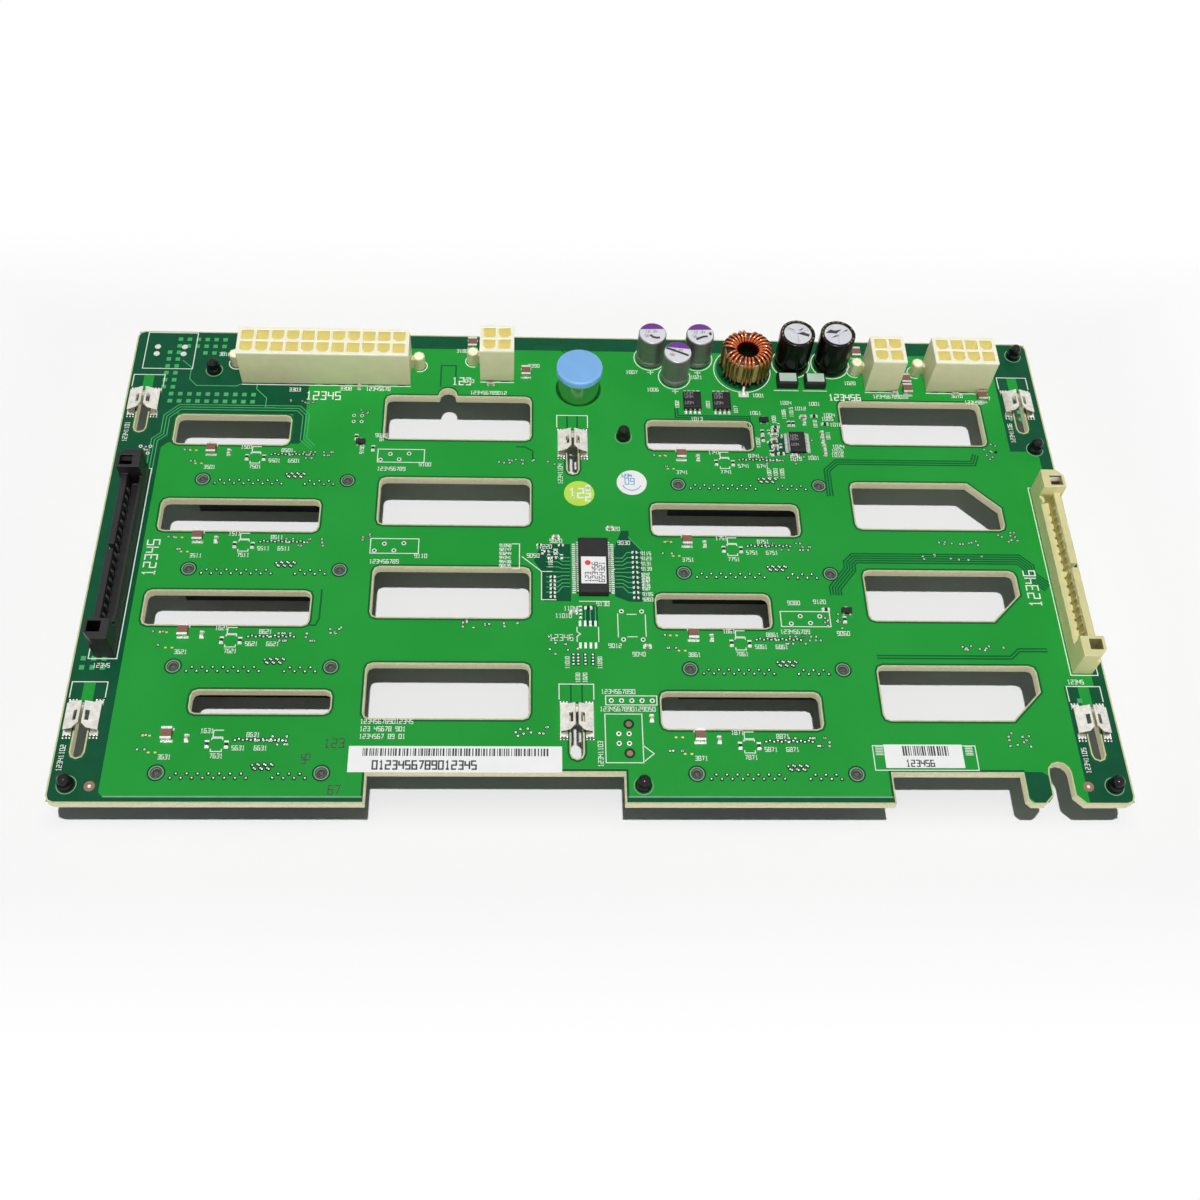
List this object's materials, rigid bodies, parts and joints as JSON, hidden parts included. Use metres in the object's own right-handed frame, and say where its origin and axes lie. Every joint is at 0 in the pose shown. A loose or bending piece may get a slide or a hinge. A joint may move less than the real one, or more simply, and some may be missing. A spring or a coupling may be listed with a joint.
{
  "type": "drive backplane board",
  "caption": "Windowed green circuit board that links a drive cage to its power and data cables, with drive sockets below, cable sockets above and a sprung release plunger.",
  "frame": {"origin": "middle of the board's outline, at the height of the drive sockets' mating faces, on which the part rests", "axes": "+X along the board's long side, +Y from the lower edge with the bays to the edge with the power sockets, +Z out of the component side"},
  "size_m": [0.259, 0.1456, 0.0241],
  "materials": {
    "board_laminate": "green solder mask over glass-fibre laminate",
    "black_plastic": "black moulded plastic",
    "socket_nylon": "natural ivory nylon with a slight sheen",
    "ivory_plastic": "ivory moulded plastic",
    "dark_plastic": "dark moulded nylon",
    "blue_plastic": "blue moulded plastic",
    "gold_contact": "gold-flashed contact metal",
    "tinned_metal": "bright tin plate",
    "plated_steel": "nickel plate",
    "spring_steel": "bright spring steel",
    "can_aluminium": "bright drawn aluminium",
    "sleeve_film": "dark shrink sleeve over an aluminium can",
    "core_powder": "coated powdered-iron core",
    "copper_wire": "enamelled copper",
    "brown_ceramic": "fired ceramic",
    "mould_compound": "black moulding compound"
  },
  "bodies": {
    "board": {"chip_capacitors": "brown_ceramic", "choke_core": "core_powder", "choke_winding": "copper_wire", "circuit_board": "board_laminate", "controller_chip": "mould_compound", "diode_block_1": "mould_compound", "diode_block_2": "mould_compound", "drive_contacts_1": "gold_contact", "drive_contacts_2": "gold_contact", "drive_contacts_3": "gold_contact", "drive_contacts_4": "gold_contact", "drive_contacts_5": "gold_contact", "drive_contacts_6": "gold_contact", "drive_contacts_7": "gold_contact", "drive_contacts_8": "gold_contact", "drive_socket_1": "black_plastic", "drive_socket_2": "black_plastic", "drive_socket_3": "black_plastic", "drive_socket_4": "black_plastic", "drive_socket_5": "black_plastic", "drive_socket_6": "black_plastic", "drive_socket_7": "black_plastic", "drive_socket_8": "black_plastic", "electrolytic_capacitor_1": "sleeve_film", "electrolytic_capacitor_2": "sleeve_film", "fan_power_socket": "socket_nylon", "ground_clip_1": "tinned_metal", "ground_clip_2": "tinned_metal", "ground_clip_3": "tinned_metal", "ground_clip_4": "tinned_metal", "ground_clip_5": "tinned_metal", "ground_clip_6": "tinned_metal", "left_cable_contacts": "gold_contact", "left_cable_latches": "spring_steel", "left_cable_socket": "black_plastic", "left_media_socket": "socket_nylon", "main_power_socket": "socket_nylon", "plunger_barrel": "plated_steel", "plunger_spring": "spring_steel", "polymer_capacitor_1": "can_aluminium", "polymer_capacitor_2": "can_aluminium", "polymer_capacitor_3": "can_aluminium", "power_pins": "tinned_metal", "power_switch_1": "mould_compound", "power_switch_2": "mould_compound", "regulator_chip": "mould_compound", "right_cable_contacts": "gold_contact", "right_cable_latches": "spring_steel", "right_cable_socket": "ivory_plastic", "right_media_socket": "socket_nylon", "snap_in_posts": "dark_plastic"},
    "plunger": {"plunger_knob": "blue_plastic", "plunger_pin": "plated_steel"}
  },
  "joints": [
    {"name": "plunger_pull", "type": "slide", "parent": "board", "child": "plunger", "axis": [0, 0, 1], "range_m": [0, 0.005], "stiffness_N_per_m": 800, "springref_m": -0.005, "deforming": ["plunger_spring"]}
  ]
}
